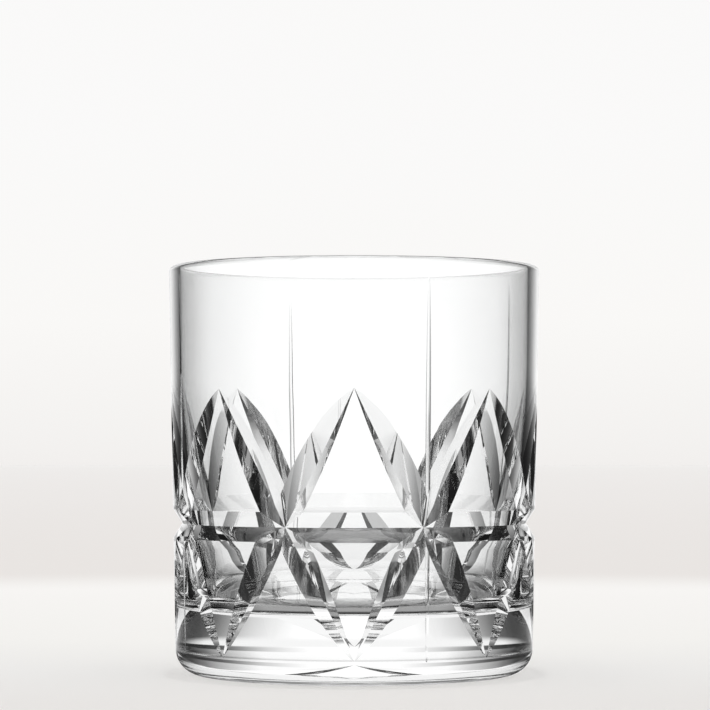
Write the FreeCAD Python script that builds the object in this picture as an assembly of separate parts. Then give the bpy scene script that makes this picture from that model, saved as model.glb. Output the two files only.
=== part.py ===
import FreeCAD, Part
import math
import os

# A cut-crystal whiskey tumbler. Millimetres and degrees, +Z up, origin on the surface that it stands
# on, at the middle of the foot. Angles are counted from the front (-Y) towards +X.

# Blank: the blown and turned glass before it is cut.
HEIGHT = 96.3
RIM_RADIUS = 44.0  # outside of the wall, at the rim
FOOT_RADIUS = 42.1  # outside of the wall, carried down to the table
FOOT_CORNER = 6.1  # rounding between the wall and the foot
LIP_THICKNESS = 2.7
LIP_CORNER = 1.3  # rounds nearly the whole lip
WALL_BREAK_RADIUS = 40.9  # inside, where the thin upper wall begins to thicken
WALL_BREAK_HEIGHT = 66.0
BOWL_RADIUS = 38.0  # inside, where the wall begins to draw in
BOWL_HEIGHT = 32.0
BOWL_CORNER = 30.0
WELL_RADIUS = 34.5  # inside, where the wall's line meets the floor's line
WELL_HEIGHT = 16.0
WELL_CORNER = 5.0
FLOOR_RADIUS = 20.0  # inside, where the floor begins to rise towards the wall
FLOOR_RISE_HEIGHT = 14.5
FLOOR_CORNER = 30.0
FLOOR_HEIGHT = 14.2  # at the middle
FOOT_RING_RADIUS = 30.5  # inner edge of the flat ring that it stands on
HOLLOW_RADIUS = 12.0
HOLLOW_DEPTH = 0.8

# Cut pattern: eight pointed arches above a ring, eight points below it, and four upright lines.
ARCHES = 8
RING_HEIGHT = 35.5
RING_DEPTH = 2.15
RING_ANGLE = 115.0
ARCH_TIP_HEIGHT = 66.8
POINT_TIP_HEIGHT = 5.8
CROSSING_DEPTH = 2.3  # how deep the slanted cuts are where they meet on the ring
SLANT_ANGLE = 105.0
SLANT_BOW = 0.35  # how far the round wheel sinks past a straight line, half way along a slanted cut
ARCH_FACING = 1.0  # which way the arch cuts face, from 0, the tip's side, to 1, the crossing's side
POINT_FACING = 0.5
LINES = 4
LINE_DEPTH = 0.3  # at half height, fading to nothing at both ends
LINE_ROUNDING = 0.8  # radius of the wheel's round edge
LINE_ENDS = (3.7, 93.9)
OVERRUN = 6.0  # how far a cutter reaches past the glass
PASS_OVER = 0.5  # how far a slanted cutter runs on past the crossing, so that the four join

PITCH = 360.0 / ARCHES
WALL_SLOPE = (RIM_RADIUS - FOOT_RADIUS) / HEIGHT


def on_wall(angle, height, depth=0.0):
    """The point on the outer wall at this angle and height, sunk by depth."""
    radius = FOOT_RADIUS + WALL_SLOPE * height - depth
    turn = math.radians(angle)
    return FreeCAD.Vector(radius * math.sin(turn), -radius * math.cos(turn), height)


def outward(angle):
    turn = math.radians(angle)
    return FreeCAD.Vector(math.sin(turn), -math.cos(turn), 0)


def rounded_corner(before, corner, after, radius):
    """Start, middle and end of the arc that rounds a corner of the outline."""
    back = (before - corner).normalize()
    ahead = (after - corner).normalize()
    half = back.getAngle(ahead) / 2
    tangent = radius / math.tan(half)
    middle_gap = radius / math.sin(half) - radius
    middle = corner + (back + ahead).normalize() * middle_gap
    return corner + back * tangent, middle, corner + ahead * tangent


def outline_edges(corners):
    """Edges of a closed outline in the XZ plane, from (radius, height, rounding) corners."""
    places = [FreeCAD.Vector(radius, 0, height) for radius, height, _ in corners]
    edges = []
    stops = []
    for i, (_, _, rounding) in enumerate(corners):
        corner = places[i]
        following = places[(i + 1) % len(places)]
        if rounding:
            start, middle, end = rounded_corner(places[i - 1], corner, following, rounding)
            edges.append(Part.Arc(start, middle, end).toShape())
            stops.append((start, end))
        else:
            stops.append((corner, corner))
    for i, (_, leave) in enumerate(stops):
        arrive = stops[(i + 1) % len(stops)][0]
        edges.append(Part.LineSegment(leave, arrive).toShape())
    return edges


def turned(edges):
    """The solid that a closed outline sweeps about the axis. Its seam lies between two cuts."""
    wire = Part.Wire(Part.__sortEdges__(edges))
    solid = Part.Face(wire).revolve(FreeCAD.Vector(), FreeCAD.Vector(0, 0, 1), 360)
    solid.rotate(FreeCAD.Vector(), FreeCAD.Vector(0, 0, 1), PITCH / 7)
    return solid


def blank():
    corners = [
        (0, HOLLOW_DEPTH, 0),
        (HOLLOW_RADIUS, HOLLOW_DEPTH, 300.0),
        (FOOT_RING_RADIUS, 0, 20.0),
        (FOOT_RADIUS, 0, FOOT_CORNER),
        (RIM_RADIUS, HEIGHT, LIP_CORNER),
        (RIM_RADIUS - LIP_THICKNESS, HEIGHT, LIP_CORNER),
        (WALL_BREAK_RADIUS, WALL_BREAK_HEIGHT, 200.0),
        (BOWL_RADIUS, BOWL_HEIGHT, BOWL_CORNER),
        (WELL_RADIUS, WELL_HEIGHT, WELL_CORNER),
        (FLOOR_RADIUS, FLOOR_RISE_HEIGHT, FLOOR_CORNER),
        (0, FLOOR_HEIGHT, 0),
    ]
    return turned(outline_edges(corners))


def ring_cutter():
    """A V groove all round, whose bottom lies at RING_HEIGHT."""
    bottom = FOOT_RADIUS + WALL_SLOPE * RING_HEIGHT - RING_DEPTH
    mouth = bottom + OVERRUN
    half_width = OVERRUN * math.tan(math.radians(RING_ANGLE / 2))
    corners = [
        (bottom, RING_HEIGHT, 0),
        (mouth, RING_HEIGHT - half_width, 0),
        (mouth, RING_HEIGHT + half_width, 0),
    ]
    return turned(outline_edges(corners))


def wheel_pass(start, end, facing, bow):
    """The long arc of a cut from start to end: its middle, hub, directions, radius and half turn."""
    chord = end - start
    half = chord.Length / 2
    along = chord.normalize()
    opening = (facing - along * facing.dot(along)).normalize()
    sweep = half ** 2 / (2 * bow) + bow / 2
    middle = (start + end) / 2 - opening * bow
    reach = math.degrees(math.asin(half / sweep))
    return middle, middle + opening * sweep, along, opening, along.cross(opening), sweep, reach


def v_cutter(start, end, facing, included, bow):
    """A V-edged cutter whose sharp edge runs in an arc from OVERRUN before start to PASS_OVER after end."""
    middle, hub, _, opening, side, sweep, reach = wheel_pass(start, end, facing, bow)
    half_width = OVERRUN * math.tan(math.radians(included / 2))
    mouth = middle + opening * OVERRUN
    corners = [middle, mouth + side * half_width, mouth - side * half_width, middle]
    section = Part.Face(Part.makePolygon(corners))
    before = reach + math.degrees(OVERRUN / sweep)
    after = reach + math.degrees(PASS_OVER / sweep)
    section.rotate(hub, side, -before)
    return section.revolve(hub, side, before + after)


def slanted_cutters():
    """The arches above the ring and the points below it, each of two cuts that meet at its tip."""
    cutters = []
    for arch in range(ARCHES):
        middle = PITCH * arch
        for tip_height, lean in ((ARCH_TIP_HEIGHT, ARCH_FACING), (POINT_TIP_HEIGHT, POINT_FACING)):
            tip = on_wall(middle, tip_height)
            for side in (-PITCH / 2, PITCH / 2):
                crossing = on_wall(middle + side, RING_HEIGHT, CROSSING_DEPTH)
                facing = outward(middle + side * lean)
                cutters.append(v_cutter(tip, crossing, facing, SLANT_ANGLE, SLANT_BOW))
    return cutters


def line_cutters():
    """Four thin upright flutes, each one long shallow pass of a round-edged wheel."""
    cutters = []
    for line in range(LINES):
        angle = PITCH / 2 + 360.0 / LINES * line
        start, end = (on_wall(angle, height, -LINE_ROUNDING) for height in LINE_ENDS)
        middle, hub, along, _, side, sweep, reach = wheel_pass(start, end, outward(angle), LINE_DEPTH)
        reach += math.degrees(OVERRUN / sweep)
        disc = Part.Face(Part.Wire(Part.makeCircle(LINE_ROUNDING, middle, along)))
        disc.rotate(hub, side, -reach)
        cutters.append(disc.revolve(hub, side, 2 * reach))
    return cutters


def crystal_tumbler():
    """The one piece of glass: the blank with every cut taken out of its wall."""
    cutters = [ring_cutter()] + slanted_cutters() + line_cutters()
    return blank().cut(cutters)


os.makedirs("parts", exist_ok=True)
tumbler = crystal_tumbler()
tumbler.exportStep("parts/crystal_tumbler.step")
print("solids", len(tumbler.Solids), "valid", tumbler.isValid(), "volume mm3", round(tumbler.Volume))
print("box", tumbler.optimalBoundingBox())
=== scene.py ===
import math

import bmesh
import bpy
import numpy as np
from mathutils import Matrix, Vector


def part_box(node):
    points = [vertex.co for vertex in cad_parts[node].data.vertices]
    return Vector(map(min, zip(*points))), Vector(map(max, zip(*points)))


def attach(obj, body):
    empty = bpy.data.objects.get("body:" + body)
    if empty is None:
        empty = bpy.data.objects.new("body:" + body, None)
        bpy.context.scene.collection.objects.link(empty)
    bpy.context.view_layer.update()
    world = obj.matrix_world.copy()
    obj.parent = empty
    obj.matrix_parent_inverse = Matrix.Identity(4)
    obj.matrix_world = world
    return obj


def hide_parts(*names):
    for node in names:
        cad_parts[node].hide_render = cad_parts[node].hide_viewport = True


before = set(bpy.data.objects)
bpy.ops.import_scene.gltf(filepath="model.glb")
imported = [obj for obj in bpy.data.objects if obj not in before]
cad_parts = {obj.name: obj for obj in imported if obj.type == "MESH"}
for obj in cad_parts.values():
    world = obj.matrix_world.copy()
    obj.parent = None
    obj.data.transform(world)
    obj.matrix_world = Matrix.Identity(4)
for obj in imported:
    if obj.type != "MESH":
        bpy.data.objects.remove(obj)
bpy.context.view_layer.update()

# ---------------------------------------------------------------- sizes, in metres and degrees
MM = 0.001
NODE = "crystal_tumbler"
node_low, node_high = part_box(NODE)
HEIGHT = node_high[2] - node_low[2]
RIM_RADIUS = 44.0 * MM
FOOT_RADIUS = 42.1 * MM
FOOT_CORNER = 6.1 * MM
LIP_THICKNESS = 2.7 * MM
LIP_CORNER = 1.3 * MM
WALL_BREAK = (40.9 * MM, 66.0 * MM)
WALL_BREAK_CORNER = 200.0 * MM
BOWL = (38.0 * MM, 32.0 * MM)
BOWL_CORNER = 30.0 * MM
WELL = (34.5 * MM, 16.0 * MM)
WELL_CORNER = 5.0 * MM
FLOOR = (20.0 * MM, 14.5 * MM)
FLOOR_CORNER = 30.0 * MM
FLOOR_HEIGHT = 14.2 * MM
FOOT_RING_RADIUS = 30.5 * MM
FOOT_RING_CORNER = 20.0 * MM
HOLLOW = (12.0 * MM, 0.8 * MM)
HOLLOW_CORNER = 300.0 * MM

ARCHES = 8
PITCH = 360.0 / ARCHES
RING_HEIGHT = 35.5 * MM
RING_DEPTH = 2.15 * MM
RING_ANGLE = 115.0
ARCH_TIP_HEIGHT = 66.8 * MM
POINT_TIP_HEIGHT = 5.8 * MM
CROSSING_DEPTH = 2.3 * MM
SLANT_ANGLE = 105.0
SLANT_BOW = 0.35 * MM
ARCH_FACING = 1.0
POINT_FACING = 0.5
LINES = 4
LINE_DEPTH = 0.3 * MM
LINE_ROUNDING = 0.8 * MM
LINE_ENDS = (3.7 * MM, 93.9 * MM)
OVERRUN = 6.0 * MM
PASS_OVER = 0.5 * MM
WALL_SLOPE = (RIM_RADIUS - FOOT_RADIUS) / HEIGHT

# How finely the mesh follows the shape.
SIDES = 384  # faces round the glass
ARC_STEP = 3.0  # degrees turned by each face along a rounding
LONGEST_FACE = 12.0 * MM  # up and down, on the straight stretches of the outline
SLANT_STEPS = 20  # along each slanted cut
FLUTE_STEPS = 24  # along each flute
FLUTE_SIDES = 36  # round the wheel's edge
TINY = 1e-7  # metres: nearer to the axis than this counts as on it

# Which surface a face belongs to, kept as its material number until the normals are set.
PLAIN, GROOVE, FACET, FLUTE = SURFACES = range(4)


def corner_arc(before, corner, after, radius):
    """Points of the arc that rounds a corner of the outline, with the outward normal at each."""
    before, corner, after = (Vector(p) for p in (before, corner, after))
    back, ahead = (before - corner).normalized(), (after - corner).normalized()
    half = back.angle(ahead) / 2
    tangent = radius / math.tan(half)
    centre = corner + (back + ahead).normalized() * radius / math.sin(half)
    start, end = corner + back * tangent - centre, corner + ahead * tangent - centre
    turn = math.pi - 2 * half
    sign = 1 if start.x * end.y - start.y * end.x > 0 else -1
    steps = max(4, math.ceil(math.degrees(turn) / ARC_STEP))
    points = []
    for i in range(steps + 1):
        a = sign * turn * i / steps
        cosine, sine = math.cos(a), math.sin(a)
        arm = Vector((start.x * cosine - start.y * sine, start.x * sine + start.y * cosine))
        points.append((centre + arm, arm.normalized() * sign))
    return points


def blank_outline():
    """Points and normals round the uncut glass, from the axis underneath to the axis inside."""
    corners = [
        ((0, HOLLOW[1]), 0),
        (HOLLOW, HOLLOW_CORNER),
        ((FOOT_RING_RADIUS, 0), FOOT_RING_CORNER),
        ((FOOT_RADIUS, 0), FOOT_CORNER),
        ((RIM_RADIUS, HEIGHT), LIP_CORNER),
        ((RIM_RADIUS - LIP_THICKNESS, HEIGHT), LIP_CORNER),
        (WALL_BREAK, WALL_BREAK_CORNER),
        (BOWL, BOWL_CORNER),
        (WELL, WELL_CORNER),
        (FLOOR, FLOOR_CORNER),
        ((0, FLOOR_HEIGHT), 0),
    ]
    outline = [(Vector(corners[0][0]), Vector((0, -1)))]
    for (before, _), (corner, radius), (after, _) in zip(corners, corners[1:], corners[2:]):
        outline += corner_arc(before, corner, after, radius)
    outline.append((Vector(corners[-1][0]), Vector((0, 1))))
    return outline


def split_long(outline, longest):
    """Adds points on the outline's long straight stretches."""
    out = [outline[0]]
    for (p, n), (q, m) in zip(outline, outline[1:]):
        parts = max(1, math.ceil((q - p).length / longest))
        for i in range(1, parts + 1):
            out.append((p.lerp(q, i / parts), n.lerp(m, i / parts).normalized()))
    return out


def on_wall(angle, height, depth=0.0):
    """The point on the outer wall at this angle and height, sunk by depth. Angle 0 is the front."""
    radius = FOOT_RADIUS + WALL_SLOPE * height - depth
    turn = math.radians(angle)
    return Vector((radius * math.sin(turn), -radius * math.cos(turn), height))


def outward(angle):
    turn = math.radians(angle)
    return Vector((math.sin(turn), -math.cos(turn), 0))


def mesh_object(name, vertices, faces, surface):
    mesh = bpy.data.meshes.new(name)
    mesh.from_pydata(vertices, [], faces)
    for _ in SURFACES:
        mesh.materials.append(None)
    mesh.polygons.foreach_set("material_index", [surface] * len(mesh.polygons))
    ob = bpy.data.objects.new(name, mesh)
    bpy.context.scene.collection.objects.link(ob)
    return ob


def spun(name, outline, surface, closed=False):
    """Sweeps an outline of (radius, height) points about the axis. Ends on the axis close to a point."""
    vertices, faces, rows = [], [], []
    for radius, height in outline:
        if radius < TINY:
            rows.append([len(vertices)] * SIDES)
            vertices.append((0, 0, height))
            continue
        rows.append([len(vertices) + i for i in range(SIDES)])
        for i in range(SIDES):
            a = 2 * math.pi * (i + 0.5) / SIDES
            vertices.append((radius * math.sin(a), -radius * math.cos(a), height))
    for low, high in zip(rows, rows[1:] + (rows[:1] if closed else [])):
        for i in range(SIDES):
            j = (i + 1) % SIDES
            face = [low[i], low[j], high[j], high[i]]
            face = [v for k, v in enumerate(face) if v not in face[:k]]
            faces.append(face)
    return mesh_object(name, vertices, faces, surface)


def wheel_pass(start, end, facing, bow):
    """The long arc of a cut from start to end: its hub, directions, radius and half turn."""
    half = (end - start).length / 2
    along = (end - start).normalized()
    opening = (facing - along * facing.dot(along)).normalized()
    sweep = half ** 2 / (2 * bow) + bow / 2
    middle = (start + end) / 2 - opening * bow
    hub = middle + opening * sweep
    return hub, along, opening, along.cross(opening), sweep, math.asin(half / sweep)


def swept_cutter(section, hub, along, opening, side, sweep, turns, surface):
    """Sweeps a section of (outward, sideways) points round the hub, through the given turns."""
    vertices, faces = [], []
    count = len(section)
    for turn in turns:
        arm = opening * math.cos(turn) - along * math.sin(turn)
        for out, aside in section:
            vertices.append(hub + arm * (out - sweep) + side * aside)
    for low in range(0, (len(turns) - 1) * count, count):
        for j in range(count):
            k = (j + 1) % count
            faces.append((low + j, low + k, low + count + k, low + count + j))
    faces.append(tuple(range(count)))
    faces.append(tuple(len(vertices) - 1 - j for j in range(count)))
    return mesh_object("cutter", vertices, faces, surface)


def v_cutter(start, end, facing, included, bow):
    """A V edge that runs in an arc from OVERRUN before start to PASS_OVER after end."""
    hub, along, opening, side, sweep, reach = wheel_pass(start, end, facing, bow)
    half_width = OVERRUN * math.tan(math.radians(included / 2))
    section = [(0, 0), (OVERRUN, half_width), (OVERRUN, -half_width)]
    turns = np.linspace(-reach - OVERRUN / sweep, reach + PASS_OVER / sweep, SLANT_STEPS + 1)
    return swept_cutter(section, hub, along, opening, side, sweep, turns, FACET)


def flute_pass(line):
    """The arc of the middle of the wheel's round edge. The wheel touches the wall between LINE_ENDS."""
    angle = PITCH / 2 + 360.0 / LINES * line
    start, end = (on_wall(angle, height, -LINE_ROUNDING) for height in LINE_ENDS)
    return wheel_pass(start, end, outward(angle), LINE_DEPTH)


def flute_cutter(line):
    hub, along, opening, side, sweep, reach = flute_pass(line)
    around = [2 * math.pi * (j + 0.5) / FLUTE_SIDES for j in range(FLUTE_SIDES)]
    section = [(LINE_ROUNDING * math.cos(a), LINE_ROUNDING * math.sin(a)) for a in around]
    reach += OVERRUN / sweep
    turns = np.linspace(-reach, reach, FLUTE_STEPS + 1)
    return swept_cutter(section, hub, along, opening, side, sweep, turns, FLUTE)


def ring_cutter():
    bottom = FOOT_RADIUS + WALL_SLOPE * RING_HEIGHT - RING_DEPTH
    mouth = bottom + OVERRUN
    half_width = OVERRUN * math.tan(math.radians(RING_ANGLE / 2))
    ring = [(bottom, RING_HEIGHT), (mouth, RING_HEIGHT - half_width), (mouth, RING_HEIGHT + half_width)]
    return spun("cutter", ring, GROOVE, closed=True)


def slanted_cutters():
    """The arches above the ring and the points below it, each of two cuts that meet at its tip."""
    made = []
    for arch in range(ARCHES):
        middle = PITCH * arch
        for tip_height, lean in ((ARCH_TIP_HEIGHT, ARCH_FACING), (POINT_TIP_HEIGHT, POINT_FACING)):
            tip = on_wall(middle, tip_height)
            for side in (-PITCH / 2, PITCH / 2):
                crossing = on_wall(middle + side, RING_HEIGHT, CROSSING_DEPTH)
                facing = outward(middle + side * lean)
                made.append(v_cutter(tip, crossing, facing, SLANT_ANGLE, SLANT_BOW))
    return made


def face_out(ob):
    bm = bmesh.new()
    bm.from_mesh(ob.data)
    bmesh.ops.recalc_face_normals(bm, faces=bm.faces)
    bm.to_mesh(ob.data)
    bm.free()


def cut_away(ob, cutter):
    """Takes the cutter out of the glass for good. The new faces keep the cutter's surface number."""
    face_out(cutter)
    mod = ob.modifiers.new("cut", "BOOLEAN")
    mod.operation = "DIFFERENCE"
    mod.solver = "MANIFOLD"
    mod.object = cutter
    graph = bpy.context.evaluated_depsgraph_get()
    mesh = bpy.data.meshes.new_from_object(ob.evaluated_get(graph))
    ob.modifiers.clear()
    old = ob.data
    ob.data = mesh
    bpy.data.meshes.remove(old)
    bpy.data.objects.remove(cutter)


def glass_mesh():
    outline = split_long(blank_outline(), LONGEST_FACE)
    ob = spun("tumbler", [tuple(p) for p, _ in outline], PLAIN)
    face_out(ob)
    cutters = [ring_cutter()] + slanted_cutters() + [flute_cutter(line) for line in range(LINES)]
    for cutter in cutters:
        cut_away(ob, cutter)
    return ob, outline


def surface_normals(places, angles, outline):
    """The turned blank's own normal at each place, from the nearest point of its outline."""
    profile = np.array([tuple(p) for p, _ in outline])
    profile_normals = np.array([tuple(n) for _, n in outline])
    steps = profile[1:] - profile[:-1]
    best = np.full(len(places), np.inf)
    found = np.zeros((len(places), 2))
    for i, step in enumerate(steps):
        t = np.clip((places - profile[i]) @ step / (step @ step), 0, 1)[:, None]
        gap = ((places - profile[i] - step * t) ** 2).sum(1)
        nearer = gap < best
        best[nearer] = gap[nearer]
        normal = profile_normals[i] * (1 - t) + profile_normals[i + 1] * t
        found[nearer] = normal[nearer]
    found /= np.linalg.norm(found, axis=1)[:, None]
    return np.stack([found[:, 0] * np.sin(angles), -found[:, 0] * np.cos(angles), found[:, 1]], 1)


def read_all(items, name, width=1):
    """One value, or one row of width values, for each item."""
    values = np.empty(len(items) * width, float if width > 1 else int)
    items.foreach_get(name, values)
    return values.reshape(-1, width) if width > 1 else values


def groove_normals(angles, up):
    """Of the ring's two faces, of which up is 1 for the lower one and -1 for the upper one."""
    half = math.radians(RING_ANGLE / 2)
    out = math.sin(half)
    return np.stack([out * np.sin(angles), -out * np.cos(angles), up * math.cos(half)], 1)


def flute_normals(points, line):
    """Towards the middle of the wheel's edge, from each point of a flute."""
    hub, _, _, side, sweep, _ = flute_pass(line)
    hub, side = np.array(hub), np.array(side)
    gap = points - hub
    arm = gap - (gap @ side)[:, None] * side
    aim = hub + arm / np.linalg.norm(arm, axis=1)[:, None] * sweep - points
    return aim / np.linalg.norm(aim, axis=1)[:, None]


def set_normals(ob, outline):
    """Gives all but the slanted cuts the exact normals of their round surfaces."""
    mesh = ob.data
    face = np.repeat(np.arange(len(mesh.polygons)), read_all(mesh.polygons, "loop_total"))
    points = read_all(mesh.vertices, "co", 3)[read_all(mesh.loops, "vertex_index")]
    centres = read_all(mesh.polygons, "center", 3)[face]
    normals = read_all(mesh.polygons, "normal", 3)[face]
    surface = read_all(mesh.polygons, "material_index")[face]
    radius = np.hypot(points[:, 0], points[:, 1])
    aim = np.where((radius < TINY)[:, None], centres, points)
    angles = np.arctan2(aim[:, 0], -aim[:, 1])
    plain = surface == PLAIN
    places = np.stack([radius, points[:, 2]], 1)
    normals[plain] = surface_normals(places[plain], angles[plain], outline)
    groove = surface == GROOVE
    normals[groove] = groove_normals(angles[groove], np.sign(normals[groove, 2]))
    for line in range(LINES):
        towards = np.array(outward(PITCH / 2 + 360.0 / LINES * line))
        near = (surface == FLUTE) & (points @ towards > math.cos(math.radians(PITCH / 2)) * radius)
        normals[near] = flute_normals(points[near], line)
    mesh.normals_split_custom_set(normals.tolist())


glass, outline = glass_mesh()
set_normals(glass, outline)
glass.name = "tumbler"
glass.data.materials.clear()

# ---------------------------------------------------------------- camera
SENSOR_WIDTH, LENS = 36.0, 145.0  # millimetres
CAMERA_DISTANCE = 679.1 * MM  # from the glass's axis
CAMERA_HEIGHT = 54.7 * MM
CAMERA_TILT = 1.739  # degrees up
CAMERA_AIM_ASIDE = 0.2 * MM  # how far beside the axis it aims
camera_data = bpy.data.cameras.new("camera")
camera_data.sensor_width = SENSOR_WIDTH
camera_data.lens = LENS
camera_data.clip_start = 0.01
camera_data.clip_end = 100.0
camera = bpy.data.objects.new("camera", camera_data)
bpy.context.scene.collection.objects.link(camera)
camera.location = (0, -CAMERA_DISTANCE, CAMERA_HEIGHT)
aim_height = CAMERA_HEIGHT + CAMERA_DISTANCE * math.tan(math.radians(CAMERA_TILT))
aim_at = Vector((CAMERA_AIM_ASIDE, 0, aim_height))
camera.rotation_mode = "QUATERNION"
camera.rotation_quaternion = (aim_at - camera.location).to_track_quat("-Z", "Y")
bpy.context.scene.camera = camera


# ---------------------------------------------------------------- shader helpers
def node(tree, kind, **settings):
    made = tree.nodes.new(kind)
    for key, value in settings.items():
        setattr(made, key, value)
    return made


def link(tree, source, target):
    tree.links.new(source, target)


def ramp(tree, value, stops):
    """Straight lines between (place, level or colour) stops, with the places from 0 to 1."""
    made = node(tree, "ShaderNodeValToRGB")
    elements = made.color_ramp.elements
    while len(elements) > 1:
        elements.remove(elements[-1])
    for i, (place, level) in enumerate(stops):
        element = elements[0] if i == 0 else elements.new(place)
        element.position = place
        element.color = (*level, 1) if isinstance(level, tuple) else (level, level, level, 1)
    link(tree, value, made.inputs["Fac"])
    return made.outputs["Color"]


def calc(tree, operation, *values):
    made = node(tree, "ShaderNodeMath", operation=operation)
    for slot, value in enumerate(values):
        if isinstance(value, (int, float)):
            made.inputs[slot].default_value = value
        else:
            link(tree, value, made.inputs[slot])
    return made.outputs[0]


def along(tree, value, stops):
    """A ramp through stops whose places are in the value's own units."""
    low, high = stops[0][0], stops[-1][0]
    unit_stops = [((place - low) / (high - low), level) for place, level in stops]
    unit_value = calc(tree, "DIVIDE", calc(tree, "SUBTRACT", value, low), high - low)
    return ramp(tree, unit_value, unit_stops)


def around(tree, parts, stops):
    """A ramp by the angle round from straight behind, in degrees, the same to both sides."""
    azimuth = calc(tree, "ARCTAN2", parts.outputs["X"], parts.outputs["Y"])
    turn = calc(tree, "DIVIDE", calc(tree, "ABSOLUTE", azimuth), math.pi)
    return ramp(tree, turn, [(angle / 180, level) for angle, level in stops])


def rising(tree, value, limits):
    """0 below the limits and 1 above them, with a smooth step between."""
    made = node(tree, "ShaderNodeMapRange", interpolation_type="SMOOTHSTEP")
    link(tree, value, made.inputs["Value"])
    made.inputs["From Min"].default_value, made.inputs["From Max"].default_value = limits
    return made.outputs[0]


def mix(tree, kind, slots, amount, first, second):
    made = node(tree, "ShaderNodeMix", data_type=kind)
    for slot, value in zip(slots, (amount, first, second)):
        link(tree, value, made.inputs[slot])
    return made


def mix_values(tree, amount, first, second):
    return mix(tree, "FLOAT", (0, 2, 3), amount, first, second).outputs[0]


def mix_colours(tree, amount, first, second):
    return mix(tree, "RGBA", (0, 6, 7), amount, first, second).outputs[2]


def mix_shaders(tree, amount, first, second):
    made = node(tree, "ShaderNodeMixShader")
    for slot, value in enumerate((amount, first, second)):
        link(tree, value, made.inputs[slot])
    return made.outputs[0]


def axes(tree, output):
    """The X, Y and Z of a texture coordinate."""
    parts = node(tree, "ShaderNodeSeparateXYZ")
    link(tree, node(tree, "ShaderNodeTexCoord").outputs[output], parts.inputs[0])
    return parts


# ---------------------------------------------------------------- glass
# Hand polishing leaves the faces very slightly wavy, and the melt isn't quite even.
CRYSTAL_IOR = 1.54
POLISH_SCALE = (170.0, 170.0, 60.0)  # waves a metre; they are longer up and down
POLISH_DEPTH = 0.008 * MM
POLISH_DETAIL = 1.5
THIN_TINT = (0.985, 0.99, 0.988)
CLEAR_TINT = (1.0, 1.0, 1.0)


def crystal():
    material = bpy.data.materials.new("crystal")
    material.use_nodes = True
    tree = material.node_tree
    shader = tree.nodes["Principled BSDF"]
    shader.inputs["Roughness"].default_value = 0.0
    shader.inputs["IOR"].default_value = CRYSTAL_IOR
    shader.inputs["Transmission Weight"].default_value = 1.0
    stretch = node(tree, "ShaderNodeMapping")
    stretch.inputs["Scale"].default_value = POLISH_SCALE
    link(tree, node(tree, "ShaderNodeTexCoord").outputs["Object"], stretch.inputs["Vector"])
    noise = node(tree, "ShaderNodeTexNoise")
    noise.inputs["Scale"].default_value = 1.0
    noise.inputs["Detail"].default_value = POLISH_DETAIL
    link(tree, stretch.outputs["Vector"], noise.inputs["Vector"])
    tint = ramp(tree, noise.outputs["Fac"], [(0, THIN_TINT), (1, CLEAR_TINT)])
    link(tree, tint, shader.inputs["Base Color"])
    waves = node(tree, "ShaderNodeBump")
    waves.inputs["Strength"].default_value = 1.0
    waves.inputs["Distance"].default_value = POLISH_DEPTH
    link(tree, noise.outputs["Fac"], waves.inputs["Height"])
    link(tree, waves.outputs["Normal"], shader.inputs["Normal"])
    return material


glass.data.materials.append(crystal())
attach(glass, "root")
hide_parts(NODE)

# ---------------------------------------------------------------- studio
# Light by the angle round from straight behind, in degrees. Near the horizon a white panel stands straight
# behind, between two dark boards that draw the outline. Higher up the panel is wider.
LOW_LIGHT = [(0, 1.16), (8, 1.14), (14, 0.92), (20, 0.7), (24, 0.5), (28, 0.32), (32, 0.18), (36, 0.1)]
LOW_LIGHT += [(40, 0.06), (45, 0.03), (52, 0.015), (60, 0.01), (90, 0.01), (125, 0.5), (180, 0.5)]
HIGH_LIGHT = [(0, 1.1), (22, 1.05), (30, 0.7), (38, 0.45), (46, 0.2), (56, 0.05), (75, 0.005)]
HIGH_LIGHT += [(105, 0.01), (140, 0.15), (180, 0.15)]
LIGHT_WIDENS = (4.6, 5.8)  # between these heights above the horizon, in degrees
RISE = [(0, 1.0), (17, 1.0), (24, 0.6), (30, 0.4), (36, 0.25), (45, 0.15), (90, 0.1)]
# A soft light overhead, leaning a little towards the back, by the cosine of the angle from its middle.
OVERHEAD_AIM = (0.2, 0.98)  # Y and Z
OVERHEAD = [(0.0, 0.0), (0.82, 0.0), (0.87, 1.0), (1.0, 1.0)]
# The table as seen through the glass glows with painted light and shadow, by millimetres from the axis and
# by angle:
# white near the glass, dark towards the sides, and a painted shadow under the foot, where little light
# gets in.
UNDER_FOOT_SHADOW = [(0, 0.4), (8, 0.3), (12, 0.15), (20, 0.1), (24, 0.04), (27, 0.04), (31, 1.0), (100, 1.0)]
TABLE_LIGHT = [(0, 0.98), (34, 0.98), (42, 0.6), (50, 0.25), (60, 0.06), (72, 0.01), (105, 0.01)]
TABLE_LIGHT += [(135, 0.35), (180, 0.35)]
# Painted reflection: from here out the glowing table shows the studio light near the horizon.
NEAR_TABLE = (0.185, 0.235)  # from here out the table shines back the light near the horizon
# The table as seen directly: painted light, darker at the front and lighter at the back, where the light
# comes from; and past its edge, where it blends into the wall.
TABLE_RADIUS = 6.0
TABLE_SIDES = 128
# Painted light: the table's colour darkens and warms towards the front, away from the light behind.
TABLE_TONE_WITH_PAINTED_LIGHT = [(-0.6, (0.80, 0.77, 0.75)), (-0.083, (0.83, 0.81, 0.79)), (0.0, (0.875, 0.863, 0.848)),
              (0.111, (0.925, 0.913, 0.888)), (0.37, (0.955, 0.94, 0.92)), (0.6, (0.955, 0.94, 0.92))]
TABLE_EDGE = (0.39, 0.54)
WALL_LOW = (0.838, 0.807, 0.783)
WALL_MIDDLE = (0.863, 0.838, 0.82)
BEYOND_TONE = [(0.54, WALL_LOW), (2.0, WALL_MIDDLE), (6.0, (0.895, 0.88, 0.865))]
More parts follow.
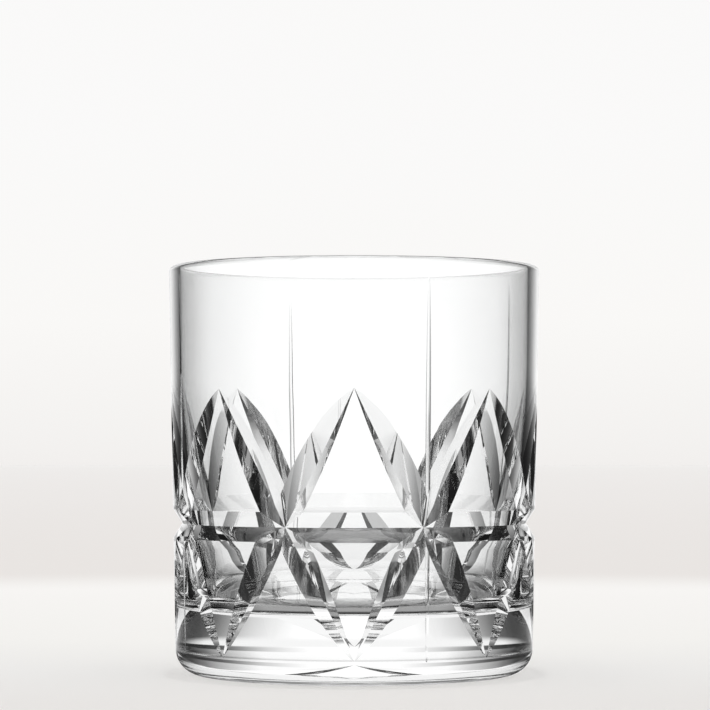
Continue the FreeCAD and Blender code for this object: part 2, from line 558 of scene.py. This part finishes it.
# The wall behind, by degrees above the horizon.
WALL_TONE = [(-3.0, WALL_LOW), (-1.2, WALL_MIDDLE), (0.0, (0.90, 0.885, 0.87)),
             (2.4, (0.95, 0.94, 0.925)), (6.0, (0.955, 0.95, 0.945)), (90.0, (0.955, 0.95, 0.945))]
WHITE = (1, 1, 1, 1)


def table_tone_with_painted_light(tree, parts, reach):
    # Painted light: the colour is darker towards the front of the table.
    painted_falloff = along(tree, parts.outputs["Y"], TABLE_TONE_WITH_PAINTED_LIGHT)
    beyond = along(tree, reach, BEYOND_TONE)
    return mix_colours(tree, rising(tree, reach, TABLE_EDGE), painted_falloff, beyond)


def table_painted_light(tree, parts, reach):
    # Painted shadow under the foot, times painted light by angle.
    foot_shadow = along(tree, calc(tree, "DIVIDE", reach, MM), UNDER_FOOT_SHADOW)
    near_painted_light = calc(tree, "MULTIPLY", around(tree, parts, TABLE_LIGHT), foot_shadow)
    # Further out, a painted reflection of the light near the horizon.
    return mix_values(tree, rising(tree, reach, NEAR_TABLE), near_painted_light, around(tree, parts, LOW_LIGHT))


def paper():
    """A matt pale table, its colour holding painted light. Rays that the glass has bent see it as a
    glowing white surface, with painted light, shadow and reflection.
    """
    material = bpy.data.materials.new("paper")
    material.use_nodes = True
    tree = material.node_tree
    parts = axes(tree, "Object")
    across = calc(tree, "POWER", parts.outputs["X"], 2)
    back = calc(tree, "POWER", parts.outputs["Y"], 2)
    reach = calc(tree, "SQRT", calc(tree, "ADD", across, back))
    matte = tree.nodes["Principled BSDF"]
    matte.inputs["Roughness"].default_value = 0.9
    matte.inputs["Specular IOR Level"].default_value = 0.0
    link(tree, table_tone_with_painted_light(tree, parts, reach), matte.inputs["Base Color"])
    # Painted light: bent rays see the table as a glow, not lit by any lamp.
    painted_glow = node(tree, "ShaderNodeEmission")
    link(tree, table_painted_light(tree, parts, reach), painted_glow.inputs["Strength"])
    path = node(tree, "ShaderNodeLightPath")
    bent = calc(tree, "MAXIMUM", path.outputs["Is Transmission Ray"], path.outputs["Is Glossy Ray"])
    surface = mix_shaders(tree, bent, matte.outputs[0], painted_glow.outputs[0])
    link(tree, surface, tree.nodes["Material Output"].inputs["Surface"])
    return material


def studio_light(tree, parts, elevation):
    """The panel, the dark boards and the light overhead, in every direction."""
    low, high = around(tree, parts, LOW_LIGHT), around(tree, parts, HIGH_LIGHT)
    panel = mix_values(tree, rising(tree, elevation, LIGHT_WIDENS), low, high)
    panel = calc(tree, "MULTIPLY", panel, along(tree, elevation, RISE))
    back = calc(tree, "MULTIPLY", parts.outputs["Y"], OVERHEAD_AIM[0])
    up = calc(tree, "MULTIPLY", parts.outputs["Z"], OVERHEAD_AIM[1])
    return calc(tree, "MAXIMUM", panel, along(tree, calc(tree, "ADD", back, up), OVERHEAD))


def background(tree, strength=None, colour=None):
    made = node(tree, "ShaderNodeBackground")
    made.inputs["Color"].default_value = WHITE
    if strength:
        link(tree, strength, made.inputs["Strength"])
    if colour:
        link(tree, colour, made.inputs["Color"])
    return made.outputs[0]


def studio():
    """A pale wall seen directly, the lights through the glass, and even light on the table."""
    world = bpy.data.worlds.new("studio")
    world.use_nodes = True
    tree = world.node_tree
    tree.nodes.clear()
    parts = axes(tree, "Generated")
    elevation = calc(tree, "MULTIPLY", calc(tree, "ARCSINE", parts.outputs["Z"]), math.degrees(1))
    lights = background(tree, strength=studio_light(tree, parts, elevation))
    wall = background(tree, colour=along(tree, elevation, WALL_TONE))
    path = node(tree, "ShaderNodeLightPath")
    after_table = calc(tree, "GREATER_THAN", path.outputs["Diffuse Depth"], 0.5)
    seen = mix_shaders(tree, path.outputs["Is Camera Ray"], lights, wall)
    out = node(tree, "ShaderNodeOutputWorld")
    link(tree, mix_shaders(tree, after_table, seen, background(tree)), out.inputs["Surface"])
    return world


bpy.ops.mesh.primitive_circle_add(vertices=TABLE_SIDES, radius=TABLE_RADIUS, fill_type="NGON")
floor = bpy.context.object
floor.name = "floor"
floor.data.materials.append(paper())
bpy.context.scene.world = studio()

scene = bpy.context.scene
scene.view_settings.view_transform = "Standard"
scene.cycles.max_bounces = 64
scene.cycles.transmission_bounces = 48
scene.cycles.glossy_bounces = 48
scene.cycles.diffuse_bounces = 3
scene.cycles.transparent_max_bounces = 8
scene.cycles.caustics_reflective = True
scene.cycles.caustics_refractive = True
scene.cycles.blur_glossy = 0.0
